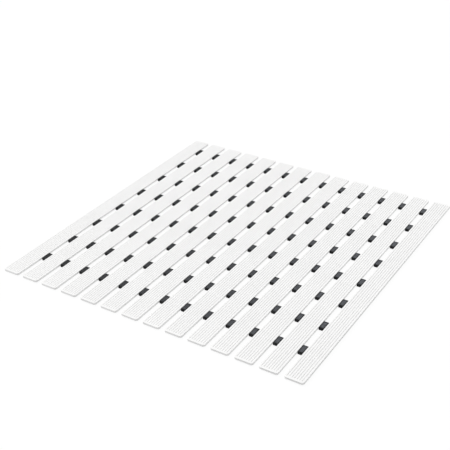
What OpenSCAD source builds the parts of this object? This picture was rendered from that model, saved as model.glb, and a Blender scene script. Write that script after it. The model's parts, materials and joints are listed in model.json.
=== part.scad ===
// Roll-up duckboard mat: fourteen fluted slats joined side by side by rows of small snap-in links.
// Every link carries two round beads that turn in sockets along the slats' edges, so the mat
// lies flat on the links' feet and rolls up from one side.
// X runs across the slats, Y along them, Z up. The origin is on the floor under the mat's centre.

/* [Mat] */
// Length of the mat along the slats
mat_len = 550; // [530:5:650]
// Clear gap between two neighbouring slats
gap_w = 8.75; // [8:0.25:12]

/* [Slats] */
// Width of one slat
slat_w = 30; // [28:0.5:40]
// Thickness of one slat
slat_h = 3.7; // [3.6:0.1:6]
// Corner radius of a slat, seen from above
corner_r = 4; // [2:0.5:8]
// Radius of the rounded upper edge
edge_r = 0.6; // [0.5:0.1:1.2]
// Chamfer along the lower edge
lower_chamfer = 0.8; // [0.2:0.1:0.8]

/* [Tread] */
// Number of grooves along one slat
groove_n = 7; // [3:1:7]
// Distance between neighbouring grooves
groove_pitch = 3.8; // [3:0.1:3.8]
// Width of a groove at the tread surface
groove_w = 1.8; // [1.6:0.1:2]
// Depth of a groove
groove_depth = 0.5; // [0.3:0.05:0.8]
// Plain land between a groove's end and the slat's end
groove_end = 3.5; // [2:0.5:10]

/* [Underside] */
// Thickness of the tread over the hollow bays
skin_t = 1.7; // [1.4:0.1:2.4]
// Thickness of the long side walls beside the bays
side_wall = 2.2; // [1.6:0.1:3]
// Thickness of the long rib between the two rows of bays
rib_t = 2; // [1.2:0.1:4]
// Thickness of the wall that closes each end of a slat
end_wall = 6; // [3:0.5:12]
// Solid material left beyond each end of a socket
socket_wall = 1.6; // [1:0.1:4]

/* [Links] */
// Number of links in one gap
link_n = 8; // [4:1:8]
// Distance between neighbouring links
link_pitch = 63.5; // [50:0.5:64]
// Distance from the slat's near end to the middle of the first link
first_link = 64.5; // [40:0.5:80]
// Length of one link along the slat
link_len = 17.1; // [16:0.1:24]
// How far the foot of a link stands below the slats
foot_h = 1.5; // [0.5:0.1:2.5]
// How far the top of a link lies below the tread
link_drop = 0.5; // [0.5:0.1:1.5]
// Radius of the rounded upper edges of a link
link_r = 0.3; // [0.2:0.1:0.6]
// Chamfer around the foot of a link
foot_chamfer = 0.4; // [0.2:0.1:0.5]

/* [Hinges] */
// Radius of the round bead on a link
bead_r = 1; // [0.9:0.05:1.1]
// Length of a bead
bead_len = 13.3; // [8:0.1:14]
// Radial clearance between a bead and its socket
bead_clear = 0.05; // [0.02:0.01:0.1]
// Clearance beyond each end of a bead
bead_end_clear = 0.15; // [0.1:0.05:0.4]
// Distance from the slat's side to the hinge axis
hinge_inset = 1.7; // [1.5:0.1:2.2]
// Height of the hinge axis above the slat's underside
hinge_h = 1.65; // [1.5:0.05:1.8]
// Thickness of the neck between a bead and the body of its link
neck_t = 0.9; // [0.7:0.1:1]
// Clearance between the body of a link and the slat beside it
side_clear = 0.06; // [0.05:0.01:0.2]
// Angle by which one hinge can swing upwards
swing = 12.5; // [8:0.5:12.5]

/* [Hidden] */
slat_n = 14;
slat_pitch = slat_w + gap_w;
near_end = -mat_len / 2;
axis_z = foot_h + hinge_h;
socket_r = bead_r + bead_clear;
socket_len = bead_len + 2 * bead_end_clear;
lip_clear = 0.05;
link_top = foot_h + slat_h - link_drop;
link_half = gap_w / 2 - side_clear;
grip_r = 0.7;
grip_depth = 0.3;
grip_pitch = link_len / 3;
arc_step = 22.5;
cut = 0.5;

// Middle of slat i, counted from 1
function slat_x(i) = (i - (slat_n + 1) / 2) * slat_pitch;

// Middle of gap i, which lies between slats i and i + 1
function gap_x(i) = slat_x(i) + slat_pitch / 2;

// Middle of link row j, counted from 0
function link_y(j) = near_end + first_link + j * link_pitch;

// Quarter circle of radius r about [cx, cy], from angle a on
function arc(cx, cy, r, a) = [for (t = [0:arc_step:90]) [cx + r * cos(a + t), cy + r * sin(a + t)]];

// A prism that runs along Y from y0, over the outline drawn in X and Z
module along_y(y0, len) {
    translate([0, y0 + len, 0]) rotate([90, 0, 0]) linear_extrude(len) children();
}

// Outline with rounded upper corners and chamfered lower corners, standing on the first axis
module tread_outline(w, h) {
    polygon(concat(
        [[-w / 2, lower_chamfer], [-w / 2 + lower_chamfer, 0]],
        [[w / 2 - lower_chamfer, 0], [w / 2, lower_chamfer]],
        arc(w / 2 - edge_r, h - edge_r, edge_r, 0),
        arc(-w / 2 + edge_r, h - edge_r, edge_r, 90)));
}

// Rectangle with rounded corners, about the origin
module plan_outline(w, len, r) {
    polygon(concat(
        arc(w / 2 - r, len / 2 - r, r, 0),
        arc(-w / 2 + r, len / 2 - r, r, 90),
        arc(-w / 2 + r, -len / 2 + r, r, 180),
        arc(w / 2 - r, -len / 2 + r, r, 270)));
}

// Solid slat before it is grooved and hollowed
module slat_blank() {
    intersection() {
        along_y(near_end, mat_len) tread_outline(slat_w, slat_h);
        rotate([90, 0, 90]) translate([0, 0, -slat_w / 2]) linear_extrude(slat_w)
            tread_outline(mat_len, slat_h);
        linear_extrude(slat_h) plan_outline(slat_w, mat_len, corner_r);
    }
}

// Round-bottomed grooves along the tread
module grooves() {
    r = (pow(groove_w / 2, 2) + pow(groove_depth, 2)) / (2 * groove_depth);
    for (k = [0:groove_n - 1])
        translate([(k - (groove_n - 1) / 2) * groove_pitch, near_end + groove_end,
                slat_h + r - groove_depth])
            rotate([-90, 0, 0]) cylinder(h = mat_len - 2 * groove_end, r = r, $fn = 32);
}

// Hollow bays between the link rows, in two rows beside the middle rib
module bays() {
    web = socket_len / 2 + socket_wall;
    bay_w = (slat_w - rib_t) / 2 - side_wall;
    for (j = [0:link_n], side = [-1, 1]) {
        y0 = j == 0 ? near_end + end_wall : link_y(j - 1) + web;
        y1 = j == link_n ? -near_end - end_wall : link_y(j) - web;
        translate([side * (rib_t + bay_w) / 2 - bay_w / 2, y0, -cut])
            cube([bay_w, y1 - y0, slat_h - skin_t + cut]);
    }
}

// Socket in the right side of a slat: a bore for the bead and a mouth in which the neck swings
module socket() {
    half_t = neck_t / 2;
    reach = hinge_inset + cut;
    rise = half_t / cos(swing) + lip_clear;
    along_y(-socket_len / 2, socket_len)
        polygon([[0, -half_t - lip_clear], [reach, -half_t - lip_clear],
            [reach, rise + reach * tan(swing)], [0, rise]]);
    translate([0, -socket_len / 2, 0]) rotate([-90, 0, 0]) cylinder(h = socket_len, r = socket_r, $fn = 32);
}

// Sockets of one side; an outermost slat has them on its inner side only
module sockets() {
    for (j = [0:link_n - 1])
        translate([slat_w / 2 - hinge_inset, link_y(j), hinge_h]) socket();
}

module slat(i) {
    color("whitesmoke") translate([slat_x(i), 0, foot_h]) difference() {
        slat_blank();
        grooves();
        bays();
        if (i < slat_n) sockets();
        if (i > 1) mirror([1, 0, 0]) sockets();
    }
}

// Outline of the body of a link; its sides lean in by the given amount above the hinge axis
module link_outline(w, lean) {
    top_half = w / 2 - lean;
    polygon(concat(
        [[-w / 2, axis_z], [-w / 2, foot_chamfer], [-w / 2 + foot_chamfer, 0]],
        [[w / 2 - foot_chamfer, 0], [w / 2, foot_chamfer], [w / 2, axis_z]],
        arc(top_half - link_r, link_top - link_r, link_r, 0),
        arc(-top_half + link_r, link_top - link_r, link_r, 90)));
}

// Body of a link: a low block whose sides meet the slats when the hinges are fully swung
module link_body() {
    intersection() {
        along_y(-link_len / 2, link_len)
            link_outline(2 * link_half, (link_top - axis_z) * tan(swing));
        rotate([90, 0, 90]) translate([0, 0, -link_half]) linear_extrude(2 * link_half)
            link_outline(link_len, 0);
    }
}

// One link about its own middle: body, two necks and two beads, with two grip grooves in the foot
module link() {
    hinge_x = gap_w / 2 + hinge_inset;
    difference() {
        link_body();
        for (side = [-1, 1])
            translate([-gap_w / 2, side * grip_pitch / 2, grip_depth - grip_r])
                rotate([0, 90, 0]) cylinder(h = gap_w, r = grip_r, $fn = 24);
    }
    translate([-hinge_x, -bead_len / 2, axis_z - neck_t / 2]) cube([2 * hinge_x, bead_len, neck_t]);
    for (side = [-1, 1])
        translate([side * hinge_x, -bead_len / 2, axis_z]) rotate([-90, 0, 0])
            cylinder(h = bead_len, r = bead_r, $fn = 32);
}

module links(i) {
    color("dimgray") for (j = [0:link_n - 1])
        translate([gap_x(i), link_y(j), 0]) link();
}

slat(1);  // slat_01
slat(2);  // slat_02
slat(3);  // slat_03
slat(4);  // slat_04
slat(5);  // slat_05
slat(6);  // slat_06
slat(7);  // slat_07
slat(8);  // slat_08
slat(9);  // slat_09
slat(10);  // slat_10
slat(11);  // slat_11
slat(12);  // slat_12
slat(13);  // slat_13
slat(14);  // slat_14
links(1);  // links_01
links(2);  // links_02
links(3);  // links_03
links(4);  // links_04
links(5);  // links_05
links(6);  // links_06
links(7);  // links_07
links(8);  // links_08
links(9);  // links_09
links(10);  // links_10
links(11);  // links_11
links(12);  // links_12
links(13);  // links_13
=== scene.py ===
"""Looks of the roll-up duckboard mat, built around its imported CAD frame.

Every slat and every row of links is rebuilt as a finely rounded mesh that stands for its CAD node.
"""

import json
import math

import bmesh
import bpy
from mathutils import Matrix, Vector
from mathutils.geometry import delaunay_2d_cdt


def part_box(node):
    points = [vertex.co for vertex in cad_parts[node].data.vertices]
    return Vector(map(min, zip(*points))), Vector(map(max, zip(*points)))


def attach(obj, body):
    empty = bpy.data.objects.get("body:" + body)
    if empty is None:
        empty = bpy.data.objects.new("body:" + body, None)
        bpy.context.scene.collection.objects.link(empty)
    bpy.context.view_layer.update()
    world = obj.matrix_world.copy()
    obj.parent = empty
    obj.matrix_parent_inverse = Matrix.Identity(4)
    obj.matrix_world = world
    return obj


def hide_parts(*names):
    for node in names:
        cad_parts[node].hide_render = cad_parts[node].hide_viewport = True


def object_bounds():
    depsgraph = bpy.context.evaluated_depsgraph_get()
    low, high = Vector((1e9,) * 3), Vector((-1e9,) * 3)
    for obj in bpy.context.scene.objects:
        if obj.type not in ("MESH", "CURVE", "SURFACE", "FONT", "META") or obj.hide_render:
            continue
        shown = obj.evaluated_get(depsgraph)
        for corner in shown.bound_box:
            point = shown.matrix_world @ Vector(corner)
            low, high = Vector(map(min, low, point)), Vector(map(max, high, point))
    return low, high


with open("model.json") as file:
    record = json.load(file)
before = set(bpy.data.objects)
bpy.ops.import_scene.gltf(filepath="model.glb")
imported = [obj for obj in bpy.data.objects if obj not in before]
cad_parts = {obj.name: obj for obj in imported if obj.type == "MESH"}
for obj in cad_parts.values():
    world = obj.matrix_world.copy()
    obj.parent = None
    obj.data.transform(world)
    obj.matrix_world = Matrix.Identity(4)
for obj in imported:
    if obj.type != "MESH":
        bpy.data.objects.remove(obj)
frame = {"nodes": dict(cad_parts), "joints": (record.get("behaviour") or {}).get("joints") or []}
CAD_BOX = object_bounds()
MM = 0.001

# ---------------------------------------------------------------- measures from the frame
SLATS = sorted(n for n in frame["nodes"] if n.startswith("slat_"))
ROWS = sorted(n for n in frame["nodes"] if n.startswith("links_"))
JOINTS = {j["name"]: j for j in frame["joints"]}
slat_lo, slat_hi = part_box(SLATS[0])
row_lo, row_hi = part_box(ROWS[0])
hinge = Vector(JOINTS["hinge_01_left"]["pos_m"])

SWING = math.radians(JOINTS["hinge_01_left"]["range_deg"][1])
SLAT_W = slat_hi.x - slat_lo.x
SLAT_L = slat_hi.y - slat_lo.y
SLAT_H = slat_hi.z - slat_lo.z
FOOT_H = slat_lo.z - row_lo.z       # how far a link's foot stands below the slats
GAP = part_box(SLATS[1])[0].x - slat_hi.x
LINK_H = row_hi.z - row_lo.z
AXIS_Z = hinge.z
AXIS_INSET = slat_hi.x - hinge.x    # from a slat's side to the hinge axis in it

# ---------------------------------------------------------------- details of a slat
EDGE_R = 0.6 * MM           # rounded upper edge
LOWER_R = 0.8 * MM          # rounded lower edge
CORNER_R = 4.0 * MM         # corner, seen from above
GROOVE_N = 7
GROOVE_PITCH = 3.8 * MM
GROOVE_DEPTH = 0.5 * MM
GROOVE_END = 3.5 * MM       # from the slat's end to the groove's end
GROOVE_FLOOR = 0.20 * MM    # half-width of a groove's floor
GROOVE_LIP = 0.90 * MM      # half-width at which the groove meets the tread
CORE_MARGIN = 0.25 * MM     # flat tread kept around the grooves in their own grid of faces
SKIN_T = 1.7 * MM           # tread over the hollow bays
SIDE_WALL = 2.2 * MM        # long walls beside the bays
RIB_T = 2.0 * MM            # long rib between the two rows of bays
END_WALL = 6.0 * MM
SOCKET_WALL = 1.6 * MM      # solid part beyond each end of a socket
BAY_CORNER = 1.6 * MM       # corner of a bay, seen from below
BAY_FILLET = 0.8 * MM       # between a bay's walls and its roof
BAY_FLARE = 0.4 * MM        # rounded mouth of a bay
OVERCUT = 0.6 * MM          # how far a cutter runs past the face that it opens

# ---------------------------------------------------------------- details of a link
LINK_N = 8
LINK_PITCH = 63.5 * MM
FIRST_LINK = 64.5 * MM      # from the slat's near end to the middle of the first link
LINK_L = 17.1 * MM
LINK_R = 0.3 * MM           # rounded upper edges
LINK_CORNER = 0.2 * MM      # corner, seen from above
LEAST_CORNER = 0.1 * MM     # what is left of that corner where an edge is rounded
FOOT_R = 0.3 * MM           # rounded edge of the foot
BEAD_R = 1.0 * MM
BEAD_L = 13.3 * MM
BEAD_BEVEL = 0.2 * MM       # rounded ends of beads and necks
BEVEL_ANGLE = 60            # degrees; only sharper edges are rounded
NECK_T = 0.9 * MM
BEAD_PLAY = 0.05 * MM       # between a bead and its socket, all round
END_PLAY = 0.3 * MM         # between them at both ends together
SOCKET_R = BEAD_R + BEAD_PLAY
SOCKET_L = BEAD_L + END_PLAY
LIP_GAP = 0.05 * MM         # between the neck and the socket's lips
SIDE_GAP = 0.06 * MM        # between a link's body and the slat beside it
GRIP_R = 0.7 * MM           # the two small grooves across a foot
GRIP_DROP = 0.4 * MM        # how far their centres lie below the floor
GRIP_Y = LINK_L / 6         # from the link's middle to each of them
LINK_YS = [slat_lo.y + FIRST_LINK + j * LINK_PITCH for j in range(LINK_N)]

# ---------------------------------------------------------------- fineness of the meshes
WALL_STEPS = 6              # over the wall of a groove
EDGE_STEPS = 6              # over a quarter turn of an upper edge
LOWER_STEPS = 4             # over a quarter turn of any other edge
SLAT_CORNER_STEPS = 8
BAY_CORNER_STEPS = 5
LINK_CORNER_STEPS = 4
BORE_STEPS = 24             # around a bead, a socket or a grip
BEVEL_STEPS = 2
CREASE = 35                 # degrees; sharper edges keep a crease
MERGE = 1e-9                # points closer than this are one point
SLACK = 1e-7                # allowed when a point is tested against a border

# ---------------------------------------------------------------- white plastic of the slats
# A noise is its repeats per metre and its detail. A span is the part of it that counts, and a range
# is what that part becomes. A bump is its strength and its height.
WHITE = (0.881, 0.880, 0.877)
GROOVE_SHADE = (0.950, 0.77)              # share of the white left in a groove under its painted shade, leftmost and rightmost slat
GROOVE_SHADE_SPREAD = 0.2 * MM              # how far the painted groove shade fades beyond the outermost grooves
GROOVE_SHADE_FADE = 0.1 * MM                # over which the painted shade fades below the tread, and in the body
GROOVE_SHADE_NOISE, GROOVE_SHADE_SPAN = (90.0, 4.0), (0.35, 0.65)
GROOVE_SHADE_RANGE = (0.7, 1.0)
SLAT_MOTTLE, SLAT_MOTTLE_SPAN = (14.0, 5.0), (0.3, 0.7)
SLAT_MOTTLE_RANGE = (0.975, 1.0)
SCUFFS, SCUFF_SPAN = (260.0, 4.0), (0.45, 0.7)
SCUFF_STRETCH = (1.0, 0.06, 1.0)    # scuffs run along the slat
SLAT_ROUGHNESS = (0.45, 0.62)       # clean, scuffed
SLAT_SPECULAR = 0.08
SCUFF_BUMP = (0.04, 0.05 * MM)
SLAT_GRAIN, SLAT_GRAIN_BUMP = (1500.0, 2.0), (0.05, 0.05 * MM)
SLAT_WAVES, SLAT_WAVES_BUMP = (45.0, 2.0), (0.05, 0.5 * MM)
PIECE_SHIFT = (31.0, 17.0, 5.0)     # moves the patterns from piece to piece, so that no two match

# ---------------------------------------------------------------- dark plastic of the links
DARK = (0.009, 0.0095, 0.0105)
TOP_SHEEN = (1.0, 11.5)        # painted sheen: how much paler a link's top is in its middle, leftmost and rightmost row
TOP_SHEEN_H = 0.6 * MM         # how far down from the top the painted sheen reaches
TOP_SHEEN_X = (0.22, 0.40)     # where it fades across a link, as shares of the gap
TOP_SHEEN_Y = (0.33, 0.46)     # where it fades along a link, as shares of its length
TOP_SHEEN_NOISE, TOP_SHEEN_SPAN = (220.0, 4.0), (0.35, 0.65)
TOP_SHEEN_RANGE = (0.6, 1.0)
TOP_SHEEN_DULLER = 0.12        # added to the roughness under the painted sheen
LINK_MOTTLE, LINK_MOTTLE_SPAN = (500.0, 3.0), (0.3, 0.7)
LINK_MOTTLE_RANGE = (0.85, 1.1)
LINK_WEAR, LINK_WEAR_SPAN = (700.0, 4.0), (0.35, 0.7)
LINK_ROUGHNESS = (0.38, 0.5)
LINK_SPECULAR = 0.12
LINK_GRAIN, LINK_GRAIN_BUMP = (1800.0, 3.0), (0.10, 0.05 * MM)
LINK_WAVES, LINK_WAVES_BUMP = (150.0, 2.0), (0.08, 0.3 * MM)

# ---------------------------------------------------------------- floor and light
FLOOR_HALF = 40.0           # half the side of the floor
FLOOR_DROP = 0.02 * MM      # keeps the floor clear of the feet
FLOOR_COLOUR = (0.10, 0.10, 0.10, 1)
FLOOR_ROUGHNESS = 0.9
FLOOR_GLOW = (0.72, 0.90)   # light given off by the floor: towards the mat, towards the camera
PURE_WHITE = (1, 1, 1, 1)
DOME = 1.42                 # light from overhead
HORIZON = 0.71              # light from just above the floor
BELOW = 0.25                # share of the horizon's light that is left below it
BELOW_Z = (-0.06, -0.01)    # where it fades
SHADED = 0.25               # share of the dome's light left where it is dimmest
SHADED_SIDE = (0.97, -0.24, 0)      # the dome's dimmest side
KEY = 0.5
KEY_ANGLE = 22              # degrees across the key light, which softens its shadows
KEY_FROM = (-0.74, 0.18, 0.62)

# ---------------------------------------------------------------- camera
AZIMUTH = 32.6741           # degrees from the mat's near side towards its right
ELEVATION = 30.5106
ROLL = -1.0668
LENS = 71.4828
SENSOR = 36.0
CLIP = (0.05, 30.0)
AIM = (-0.04244, 0.02538, 0.0)      # where the line of sight meets the floor
DISTANCE = 1.52752


# ---------------------------------------------------------------- mesh tools
def arc(cx, cy, r, start, stop, steps):
    """Points of an arc from angle start to angle stop, in degrees, both ends included."""
    turn = [math.radians(start + (stop - start) * k / steps) for k in range(steps + 1)]
    return [(cx + r * math.cos(t), cy + r * math.sin(t)) for t in turn]


def quarter(steps):
    """Sine and cosine at each step of a quarter turn, both ends included."""
    turn = [math.radians(90 * k / steps) for k in range(steps + 1)]
    return [(math.sin(t), math.cos(t)) for t in turn]


def rounded_rect(half_x, half_y, r, steps):
    """Closed outline of a rectangle with round corners, anticlockwise."""
    points = []
    for k, (sx, sy) in enumerate(((1, 1), (-1, 1), (-1, -1), (1, -1))):
        points += arc(sx * (half_x - r), sy * (half_y - r), r, 90 * k, 90 * k + 90, steps)
    return points


def ring(bm, points, z):
    """Vertices of an outline in X and Y, at one height."""
    return [bm.verts.new((x, y, z)) for x, y in points]


def skin(bm, lower, upper):
    """Quads between two rings of equal length."""
    n = len(lower)
    for k in range(n):
        m = (k + 1) % n
        bm.faces.new((lower[k], lower[m], upper[m], upper[k]))


def stacked(bm, rings):
    """Closed solid from two or more rings, given in order."""
    for lower, upper in zip(rings, rings[1:]):
        skin(bm, lower, upper)
    bm.faces.new(list(reversed(rings[0])))
    bm.faces.new(rings[-1])


def prism_along_y(bm, outline, y0, y1):
    """Closed prism over an outline in X and Z."""
    stacked(bm, [[bm.verts.new((x, y, z)) for x, z in outline] for y in (y0, y1)])


def to_mesh(bm, name):
    """Mesh of a closed bmesh, with every face turned outwards."""
    bmesh.ops.recalc_face_normals(bm, faces=bm.faces[:])
    mesh = bpy.data.meshes.new(name)
    bm.to_mesh(mesh)
    bm.free()
    return mesh


def evaluated(mesh, *modifiers):
    """The mesh after modifiers, each given as (type, settings)."""
    helper = bpy.data.objects.new("helper", mesh)
    bpy.context.scene.collection.objects.link(helper)
    for kind, settings in modifiers:
        modifier = helper.modifiers.new(kind, kind)
        for name, value in settings.items():
            setattr(modifier, name, value)
    graph = bpy.context.evaluated_depsgraph_get()
    result = bpy.data.meshes.new_from_object(helper.evaluated_get(graph))
    bpy.data.objects.remove(helper)
    return result


def combined(mesh, operation, *others):
    """Exact boolean of mesh with each of the other meshes in turn."""
    helpers = []
    steps = []
    for other in others:
        helper = bpy.data.objects.new("cutter", other)
        bpy.context.scene.collection.objects.link(helper)
        helpers.append(helper)
        steps.append(("BOOLEAN", {"operation": operation, "object": helper, "solver": "EXACT"}))
    result = evaluated(mesh, *steps)
    for helper in helpers:
        bpy.data.objects.remove(helper)
    return result


def finished(mesh, name, material):
    """The mesh with its name, one material, and smooth shading that keeps the creases."""
    mesh.name = name
    mesh.materials.clear()
    mesh.materials.append(material)
    for polygon in mesh.polygons:
        polygon.use_smooth = True
    mesh.set_sharp_from_angle(angle=math.radians(CREASE))
    return mesh


# ---------------------------------------------------------------- slats
def groove_depth(distance):
    """Depth of a groove at a distance from its centre line: flat floor, soft S-shaped walls."""
    t = min(1.0, max(0.0, (distance - GROOVE_FLOOR) / (GROOVE_LIP - GROOVE_FLOOR)))
    return GROOVE_DEPTH * (1 - t * t * (3 - 2 * t))


def fluted_core(bm, half_x, half_y, centres, run_out):
    """Grid of faces over the grooves, whose round ends are centred at run_out.

    Returns the vertices along the grid's border, anticlockwise from its near left corner.
    """
    width = GROOVE_LIP - GROOVE_FLOOR
    wall = [0.0] + [GROOVE_FLOOR + width * k / WALL_STEPS for k in range(WALL_STEPS + 1)]
    flute = [-d for d in wall[:0:-1]] + wall
    xs = [-half_x] + [c + d for c in centres for d in flute] + [half_x]
    ends = [run_out + d for d in wall] + [half_y]
    ys = [-y for y in reversed(ends)] + ends
    grid = []
    for y in ys:
        past = max(0.0, abs(y) - run_out)
        row = []
        for x in xs:
            off = min(abs(x - c) for c in centres)
            row.append(bm.verts.new((x, y, SLAT_H - groove_depth(math.hypot(off, past)))))
        grid.append(row)
    for lower, upper in zip(grid, grid[1:]):
        for k in range(len(xs) - 1):
            bm.faces.new((lower[k], lower[k + 1], upper[k + 1], upper[k]))
    near_and_right = grid[0] + [row[-1] for row in grid[1:]]
    far_and_left = grid[-1][-2::-1] + [row[0] for row in grid[-2:0:-1]]
    return near_and_right + far_and_left


def flat_frame(bm, outer, inner, half_x, half_y):
    """Flat faces between an outer ring and the border of the fluted core, of the given half sizes."""
    loop = outer + inner
    flat = [Vector((v.co.x, v.co.y)) for v in loop]
    n, m = len(outer), len(inner)
    edges = [(k, (k + 1) % n) for k in range(n)] + [(n + k, n + (k + 1) % m) for k in range(m)]
    points, _, faces, origin, _, _ = delaunay_2d_cdt(flat, edges, [], 0, MERGE)
    for face in faces:
        middle = sum((points[k] for k in face), Vector((0, 0))) / 3
        if abs(middle.x) < half_x - SLACK and abs(middle.y) < half_y - SLACK:
            continue
        bm.faces.new([loop[origin[k][0]] for k in face])


def slat_blank():
    """Closed slat with rounded edges and fluted tread, centred on X and Y, standing on z = 0."""
    bm = bmesh.new()
    half_x, half_y = SLAT_W / 2, SLAT_L / 2
    centres = [(k - (GROOVE_N - 1) / 2) * GROOVE_PITCH for k in range(GROOVE_N)]
    run_out = half_y - GROOVE_END - GROOVE_LIP
    core_x = centres[-1] + GROOVE_LIP + CORE_MARGIN
    core_y = run_out + GROOVE_LIP + CORE_MARGIN
    border = fluted_core(bm, core_x, core_y, centres, run_out)

    levels = []                 # inset and height of each ring, from the tread down
    for s, c in quarter(EDGE_STEPS):
        levels.append((EDGE_R * (1 - s), SLAT_H - EDGE_R * (1 - c)))
    for s, c in quarter(LOWER_STEPS):
        levels.append((LOWER_R * (1 - c), LOWER_R * (1 - s)))
    rings = []
    for inset, z in levels:
        outline = rounded_rect(half_x - inset, half_y - inset, CORNER_R - inset, SLAT_CORNER_STEPS)
        rings.append(ring(bm, outline, z))
    flat_frame(bm, rings[0], border, core_x, core_y)
    for upper, lower in zip(rings, rings[1:]):
        skin(bm, lower, upper)
    bm.faces.new(list(reversed(rings[-1])))
    return to_mesh(bm, "slat_blank")


def bay_cutter():
    """The hollow bays: rounded boxes with a filleted roof and a flared mouth."""
    web = SOCKET_L / 2 + SOCKET_WALL
    bay_w = (SLAT_W - RIB_T) / 2 - SIDE_WALL
    depth = SLAT_H - SKIN_T
    levels = [(BAY_FLARE, -OVERCUT)]    # growth and height of each ring, from the mouth up
    for s, c in quarter(LOWER_STEPS):
        levels.append((BAY_FLARE * (1 - s), BAY_FLARE * (1 - c)))
    for s, c in quarter(LOWER_STEPS):
        levels.append((-BAY_FILLET * (1 - c), depth - BAY_FILLET * (1 - s)))
    stops = [slat_lo.y + END_WALL]
    for y in LINK_YS:
        stops += [y - web, y + web]
    stops.append(slat_hi.y - END_WALL)
    bm = bmesh.new()
    for y0, y1 in zip(stops[0::2], stops[1::2]):
        for side in (-1, 1):
            cx, cy = side * (RIB_T + bay_w) / 2, (y0 + y1) / 2
            half_x, half_y = bay_w / 2, (y1 - y0) / 2
            rings = []
            for grow, z in levels:
                corner = BAY_CORNER + grow
                outline = rounded_rect(half_x + grow, half_y + grow, corner, BAY_CORNER_STEPS)
                rings.append(ring(bm, [(cx + x, cy + y) for x, y in outline], z))
            stacked(bm, rings)
    return to_mesh(bm, "bays")


def socket_outline(side):
    """Bore and mouth of a socket about the hinge axis, opening towards side (+1 or -1)."""
    low = NECK_T / 2 + LIP_GAP
    rise = NECK_T / 2 / math.cos(SWING) + LIP_GAP
    slope = math.tan(SWING)
    reach = AXIS_INSET + OVERCUT
    # the upper lip, z = rise + slope * x, meets the bore where a * x * x + b * x + c = 0
    a, b, c = 1 + slope ** 2, 2 * rise * slope, rise ** 2 - SOCKET_R ** 2
    upper_x = (-b + math.sqrt(b * b - 4 * a * c)) / (2 * a)
    start = math.degrees(math.atan2(rise + upper_x * slope, upper_x))
    stop = 360 - math.degrees(math.asin(low / SOCKET_R))
    outline = [(reach, -low), (reach, rise + reach * slope)]
    outline += arc(0, 0, SOCKET_R, start, stop, BORE_STEPS)
    return [(side * x, z) for x, z in outline]


def socket_cutter(side):
    """All the sockets along one side of a slat."""
    bm = bmesh.new()
    axis_x = side * (SLAT_W / 2 - AXIS_INSET)
    outline = [(axis_x + x, AXIS_Z - FOOT_H + z) for x, z in socket_outline(side)]
    for y in LINK_YS:
        prism_along_y(bm, outline, y - SOCKET_L / 2, y + SOCKET_L / 2)
    return to_mesh(bm, "sockets")


def slat_mesh(name, sides, material):
    """Finished slat; sides lists which of its sides, -1 and 1, carry sockets."""
    cutters = [bay_cutter()] + [socket_cutter(side) for side in sides]
    return finished(combined(slat_blank(), "DIFFERENCE", *cutters), name, material)


# ---------------------------------------------------------------- links
def link_body():
    """The padded block between two slats, narrowed above the hinge axis so that it can lean."""
    half_x, half_y = GAP / 2 - SIDE_GAP, LINK_L / 2
    lean = (LINK_H - AXIS_Z) * math.tan(SWING)
    levels = []                 # insets in X and Y, and height, of each ring from the foot up
    for s, c in quarter(LOWER_STEPS):
        levels.append((FOOT_R * (1 - s), FOOT_R * (1 - s), FOOT_R * (1 - c)))
    levels.append((0, 0, AXIS_Z))
    for s, c in quarter(EDGE_STEPS):
        inset = LINK_R * (1 - c)
        levels.append((lean + inset, inset, LINK_H - LINK_R * (1 - s)))
    bm = bmesh.new()
    rings = []
    for in_x, in_y, z in levels:
        corner = max(LINK_CORNER - in_y / 2, LEAST_CORNER)
        outline = rounded_rect(half_x - in_x, half_y - in_y, corner, LINK_CORNER_STEPS)
        rings.append(ring(bm, outline, z))
    stacked(bm, rings)
    return to_mesh(bm, "link_body")


def link_arms():
    """The two beads and their necks, as one bar through the body."""
    bm = bmesh.new()
    axis_x = GAP / 2 + AXIS_INSET
    root = math.degrees(math.asin(NECK_T / 2 / BEAD_R))
    outline = arc(axis_x, AXIS_Z, BEAD_R, 180 + root, 540 - root, BORE_STEPS)
    outline += arc(-axis_x, AXIS_Z, BEAD_R, root, 360 - root, BORE_STEPS)
    prism_along_y(bm, outline, -BEAD_L / 2, BEAD_L / 2)
    return evaluated(to_mesh(bm, "link_arms"), ("BEVEL", {
        "width": BEAD_BEVEL, "segments": BEVEL_STEPS, "limit_method": "ANGLE",
        "angle_limit": math.radians(BEVEL_ANGLE)}))


def grip_cutter():
    """Two small round grooves across the foot."""
    bm = bmesh.new()
    last_angle = 360 * (BORE_STEPS - 1) / BORE_STEPS
    for side in (-1, 1):
        grip = arc(side * GRIP_Y, -GRIP_DROP, GRIP_R, 0, last_angle, BORE_STEPS - 1)
        stacked(bm, [[bm.verts.new((x, y, z)) for y, z in grip] for x in (-GAP / 2, GAP / 2)])
    return to_mesh(bm, "grips")


def row_mesh(name, material):
    """The links of one gap, side by side along the slats, standing on z = 0."""
    one = combined(combined(link_body(), "UNION", link_arms()), "DIFFERENCE", grip_cutter())
    bm = bmesh.new()
    for y in LINK_YS:
        copy = one.copy()
        copy.transform(Matrix.Translation((0, y, 0)))
        bm.from_mesh(copy)
        bpy.data.meshes.remove(copy)
    mesh = bpy.data.meshes.new(name)
    bm.to_mesh(mesh)
    bm.free()
    return finished(mesh, name, material)


# ---------------------------------------------------------------- node tools
def nodes_of(name):
    """New material, its node tree and its shader."""
    material = bpy.data.materials.new(name)
    material.use_nodes = True
    tree = material.node_tree
    return material, tree, tree.nodes["Principled BSDF"]


def feed(tree, value, socket):
    """Links an output to a socket, or sets the socket to a plain value."""
    if isinstance(value, bpy.types.NodeSocket):
        tree.links.new(value, socket)
    else:
        socket.default_value = value


def add(tree, kind, **inputs):
    """New node, fed with plain values and outputs of other nodes by the names of its sockets."""
    node = tree.nodes.new(kind)
    for name, value in inputs.items():
        feed(tree, value, node.inputs[name])
    return node


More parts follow.
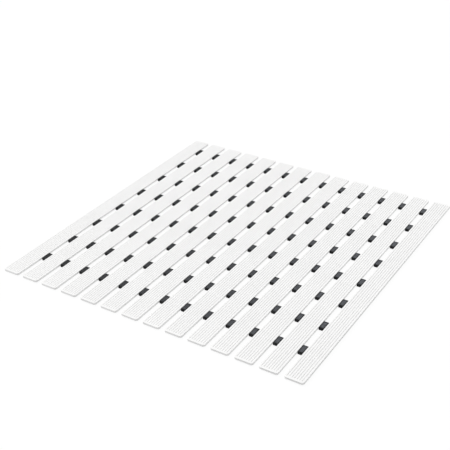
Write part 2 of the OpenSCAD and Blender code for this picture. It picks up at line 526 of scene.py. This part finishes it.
def operate(tree, kind, operation, values):
    """New maths node on plain values and outputs of other nodes."""
    node = tree.nodes.new(kind)
    node.operation = operation
    for k, value in enumerate(values):
        feed(tree, value, node.inputs[k])
    return node


def maths(tree, operation, *values):
    """Result of a maths node."""
    return operate(tree, "ShaderNodeMath", operation, values).outputs[0]


def vectors(tree, operation, *values):
    """Result of a vector maths node that gives a vector."""
    return operate(tree, "ShaderNodeVectorMath", operation, values).outputs[0]


def times(tree, first, *others):
    """Product of the values, taken from left to right."""
    for other in others:
        first = maths(tree, "MULTIPLY", first, other)
    return first


def axes_of(tree, vector):
    """The X, Y and Z outputs of a vector."""
    return add(tree, "ShaderNodeSeparateXYZ", Vector=vector).outputs


def own_coords(tree):
    """Object coordinates as they are, and moved by a different amount in every piece."""
    local = add(tree, "ShaderNodeTexCoord").outputs["Object"]
    info = add(tree, "ShaderNodeObjectInfo")
    shift = vectors(tree, "MULTIPLY", info.outputs["Location"], PIECE_SHIFT)
    return local, vectors(tree, "ADD", local, shift)


def spread(tree, value, low, high, to_low, to_high):
    """Value carried from one range to another, held at its ends."""
    remap = add(tree, "ShaderNodeMapRange", Value=value)
    for name, number in (("From Min", low), ("From Max", high), ("To Min", to_low), ("To Max", to_high)):
        remap.inputs[name].default_value = number
    return remap.outputs["Result"]


def noise(tree, vector, settings):
    """Soft noise; settings are its repeats per metre and its detail."""
    scale, detail = settings
    return add(tree, "ShaderNodeTexNoise", Vector=vector, Scale=scale, Detail=detail).outputs["Fac"]


def shade(tree, colour, factor):
    """Colour scaled by a factor."""
    node = operate(tree, "ShaderNodeVectorMath", "SCALE", (colour,))
    tree.links.new(factor, node.inputs["Scale"])
    return node.outputs[0]


def tint(tree, mask, shares):
    """Factor for a colour: 1 where the mask is 0, and a share of it where the mask is 1.

    The share runs with the piece's place, from the first value at the mat's left to the second.
    """
    info = add(tree, "ShaderNodeObjectInfo")
    where = axes_of(tree, info.outputs["Location"])
    change = spread(tree, where["X"], CAD_BOX[0].x, CAD_BOX[1].x, *(share - 1 for share in shares))
    return maths(tree, "MULTIPLY_ADD", mask, change, 1.0)


def roughen(tree, shader, layers):
    """Bump layers, each given as (height, strength, distance), one over the other."""
    normal = None
    for height, strength, distance in layers:
        bump = add(tree, "ShaderNodeBump", Strength=strength, Distance=distance, Height=height)
        if normal is not None:
            tree.links.new(normal, bump.inputs["Normal"])
        normal = bump.outputs["Normal"]
    tree.links.new(normal, shader.inputs["Normal"])


# ---------------------------------------------------------------- materials
def slat_plastic():
    """White moulded plastic: faint mottling, scuffed lands, grooves darkened with painted shade."""
    material, tree, shader = nodes_of("white_moulded_plastic")
    local, own = own_coords(tree)
    axes = axes_of(tree, local)
    # Painted shade: the grooves darkened, patchy, and more so towards the mat's right.
    core = (GROOVE_N - 1) / 2 * GROOVE_PITCH + GROOVE_LIP
    across = maths(tree, "ABSOLUTE", axes["X"])
    inside = spread(tree, across, core, core + GROOVE_SHADE_SPREAD, 1.0, 0.0)
    sunk = spread(tree, axes["Z"], SLAT_H - GROOVE_DEPTH, SLAT_H - GROOVE_SHADE_FADE, 1.0, 0.0)
    raised = spread(tree, axes["Z"], SKIN_T, SKIN_T + GROOVE_SHADE_FADE, 0.0, 1.0)
    patchy = spread(tree, noise(tree, own, GROOVE_SHADE_NOISE), *GROOVE_SHADE_SPAN, *GROOVE_SHADE_RANGE)
    groove_shade = tint(tree, times(tree, inside, sunk, raised, patchy), GROOVE_SHADE)
    mottle = spread(tree, noise(tree, own, SLAT_MOTTLE), *SLAT_MOTTLE_SPAN, *SLAT_MOTTLE_RANGE)
    tree.links.new(shade(tree, shade(tree, WHITE, groove_shade), mottle), shader.inputs["Base Color"])
    scuffs = noise(tree, vectors(tree, "MULTIPLY", own, SCUFF_STRETCH), SCUFFS)
    tree.links.new(spread(tree, scuffs, *SCUFF_SPAN, *SLAT_ROUGHNESS), shader.inputs["Roughness"])
    shader.inputs["Specular IOR Level"].default_value = SLAT_SPECULAR
    roughen(tree, shader, [
        (noise(tree, own, SLAT_GRAIN), *SLAT_GRAIN_BUMP),
        (scuffs, *SCUFF_BUMP),
        (noise(tree, own, SLAT_WAVES), *SLAT_WAVES_BUMP)])
    return material


def link_plastic():
    """Dark blue-grey plastic with a painted sheen, paler and duller, on the middle of each link's top.
    """
    material, tree, shader = nodes_of("dark_link_plastic")
    local, own = own_coords(tree)
    axes = axes_of(tree, local)
    across = maths(tree, "ABSOLUTE", axes["X"])
    along = maths(tree, "SUBTRACT", axes["Y"], LINK_YS[0] - LINK_PITCH / 2)
    in_pitch = maths(tree, "FLOORED_MODULO", along, LINK_PITCH)
    off_middle = maths(tree, "ABSOLUTE", maths(tree, "SUBTRACT", in_pitch, LINK_PITCH / 2))
    # Painted sheen: the middle of each link's top made paler, and more so towards the mat's right.
    top = spread(tree, axes["Z"], LINK_H - TOP_SHEEN_H, LINK_H, 0.0, 1.0)
    on_x = spread(tree, across, *(GAP * share for share in TOP_SHEEN_X), 1.0, 0.0)
    on_y = spread(tree, off_middle, *(LINK_L * share for share in TOP_SHEEN_Y), 1.0, 0.0)
    patches = spread(tree, noise(tree, own, TOP_SHEEN_NOISE), *TOP_SHEEN_SPAN, *TOP_SHEEN_RANGE)
    top_sheen = times(tree, top, on_x, on_y, patches)
    mottle = spread(tree, noise(tree, own, LINK_MOTTLE), *LINK_MOTTLE_SPAN, *LINK_MOTTLE_RANGE)
    paler = shade(tree, DARK, tint(tree, top_sheen, TOP_SHEEN))
    tree.links.new(shade(tree, paler, mottle), shader.inputs["Base Color"])
    wear = spread(tree, noise(tree, own, LINK_WEAR), *LINK_WEAR_SPAN, *LINK_ROUGHNESS)
    duller = spread(tree, top_sheen, 0.0, 1.0, 0.0, TOP_SHEEN_DULLER)
    tree.links.new(maths(tree, "ADD", wear, duller), shader.inputs["Roughness"])
    shader.inputs["Specular IOR Level"].default_value = LINK_SPECULAR
    roughen(tree, shader, [
        (noise(tree, own, LINK_GRAIN), *LINK_GRAIN_BUMP),
        (noise(tree, own, LINK_WAVES), *LINK_WAVES_BUMP)])
    return material


def floor_finish():
    """Pale floor that glows a little, so that the mat's shadow is faint; clear from below."""
    material, tree, shader = nodes_of("pale_floor")
    material.cycles.emission_sampling = "NONE"
    shader.inputs["Base Color"].default_value = FLOOR_COLOUR
    shader.inputs["Roughness"].default_value = FLOOR_ROUGHNESS
    shader.inputs["Specular IOR Level"].default_value = 0.0
    shader.inputs["Emission Color"].default_value = PURE_WHITE
    path = add(tree, "ShaderNodeLightPath")
    glow = spread(tree, path.outputs["Is Camera Ray"], 0.0, 1.0, *FLOOR_GLOW)
    tree.links.new(glow, shader.inputs["Emission Strength"])
    clear = add(tree, "ShaderNodeBsdfTransparent")
    geometry = add(tree, "ShaderNodeNewGeometry")
    side = add(tree, "ShaderNodeMixShader", Fac=geometry.outputs["Backfacing"])
    tree.links.new(shader.outputs["BSDF"], side.inputs[1])
    tree.links.new(clear.outputs["BSDF"], side.inputs[2])
    tree.links.new(side.outputs["Shader"], tree.nodes["Material Output"].inputs["Surface"])
    return material


# ---------------------------------------------------------------- assembly
def place(mesh, node):
    """Piece that stands for a CAD node, centred on its box and standing on the box's floor."""
    lo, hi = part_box(node)
    piece = bpy.data.objects.new(node + "_piece", mesh)
    bpy.context.scene.collection.objects.link(piece)
    piece.location = ((lo.x + hi.x) / 2, 0, lo.z)
    weighted = piece.modifiers.new("shading", "WEIGHTED_NORMAL")
    weighted.keep_sharp = True
    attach(piece, node)
    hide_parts(node)


def make_mat():
    """All slats and link rows; the outermost slats carry sockets on their inner side only."""
    white = slat_plastic()
    dark = link_plastic()
    inner = slat_mesh("slat_inner", (-1, 1), white)
    first = slat_mesh("slat_first", (1,), white)
    last = slat_mesh("slat_last", (-1,), white)
    for node in SLATS:
        place({SLATS[0]: first, SLATS[-1]: last}.get(node, inner), node)
    row = row_mesh("link_row", dark)
    for node in ROWS:
        place(row, node)


# ---------------------------------------------------------------- floor, light and camera
def make_floor():
    """Large plain floor just under the mat's feet."""
    half = FLOOR_HALF
    mesh = bpy.data.meshes.new("floor")
    corners = [(-half, -half, 0), (half, -half, 0), (half, half, 0), (-half, half, 0)]
    mesh.from_pydata(corners, [], [(0, 1, 2, 3)])
    mesh.materials.append(floor_finish())
    floor = bpy.data.objects.new("floor", mesh)
    floor.location.z = -FLOOR_DROP
    bpy.context.scene.collection.objects.link(floor)


def make_dome():
    """White dome, brightest overhead and dim below the horizon; the camera itself sees plain white."""
    world = bpy.data.worlds.new("studio")
    world.use_nodes = True
    tree = world.node_tree
    background = tree.nodes["Background"]
    background.inputs["Color"].default_value = PURE_WHITE
    direction = add(tree, "ShaderNodeTexCoord").outputs["Generated"]
    height = axes_of(tree, direction)["Z"]
    below = spread(tree, height, *BELOW_Z, BELOW, 1.0)
    above = spread(tree, height, 0.0, 1.0, HORIZON, DOME)
    aside = operate(tree, "ShaderNodeVectorMath", "DOT_PRODUCT", (direction, SHADED_SIDE))
    dimmed = spread(tree, aside.outputs["Value"], 0.0, 1.0, 1.0, SHADED)
    strength = tree.nodes.new("ShaderNodeMix")
    strength.data_type = "FLOAT"
    path = add(tree, "ShaderNodeLightPath")
    tree.links.new(path.outputs["Is Camera Ray"], strength.inputs["Factor"])
    tree.links.new(times(tree, below, above, dimmed), strength.inputs["A"])
    strength.inputs["B"].default_value = 1.0
    tree.links.new(strength.outputs["Result"], background.inputs["Strength"])
    bpy.context.scene.world = world


def aimed(name, data, rotation):
    """New object with a rotation, in the scene."""
    thing = bpy.data.objects.new(name, data)
    thing.rotation_mode = "QUATERNION"
    thing.rotation_quaternion = rotation
    bpy.context.scene.collection.objects.link(thing)
    return thing


def make_key():
    """Broad soft key light from the left."""
    data = bpy.data.lights.new("key", "SUN")
    data.energy = KEY
    data.angle = math.radians(KEY_ANGLE)
    aimed("key", data, Vector(KEY_FROM).to_track_quat("Z", "Y"))


def make_camera():
    """Camera above the mat, looking at it from the near right."""
    data = bpy.data.cameras.new("camera")
    data.sensor_width = SENSOR
    data.lens = LENS
    data.clip_start, data.clip_end = CLIP
    a, e = math.radians(AZIMUTH), math.radians(ELEVATION)
    back = Vector((math.sin(a) * math.cos(e), -math.cos(a) * math.cos(e), math.sin(e)))
    level = (-back).to_track_quat("-Z", "Y")
    roll = Matrix.Rotation(math.radians(ROLL), 3, "Z").to_quaternion()
    camera = aimed("camera", data, level @ roll)
    camera.location = Vector(AIM) + back * DISTANCE
    bpy.context.scene.camera = camera


make_mat()
make_floor()
make_dome()
make_key()
make_camera()
bpy.context.scene.view_settings.view_transform = "Standard"
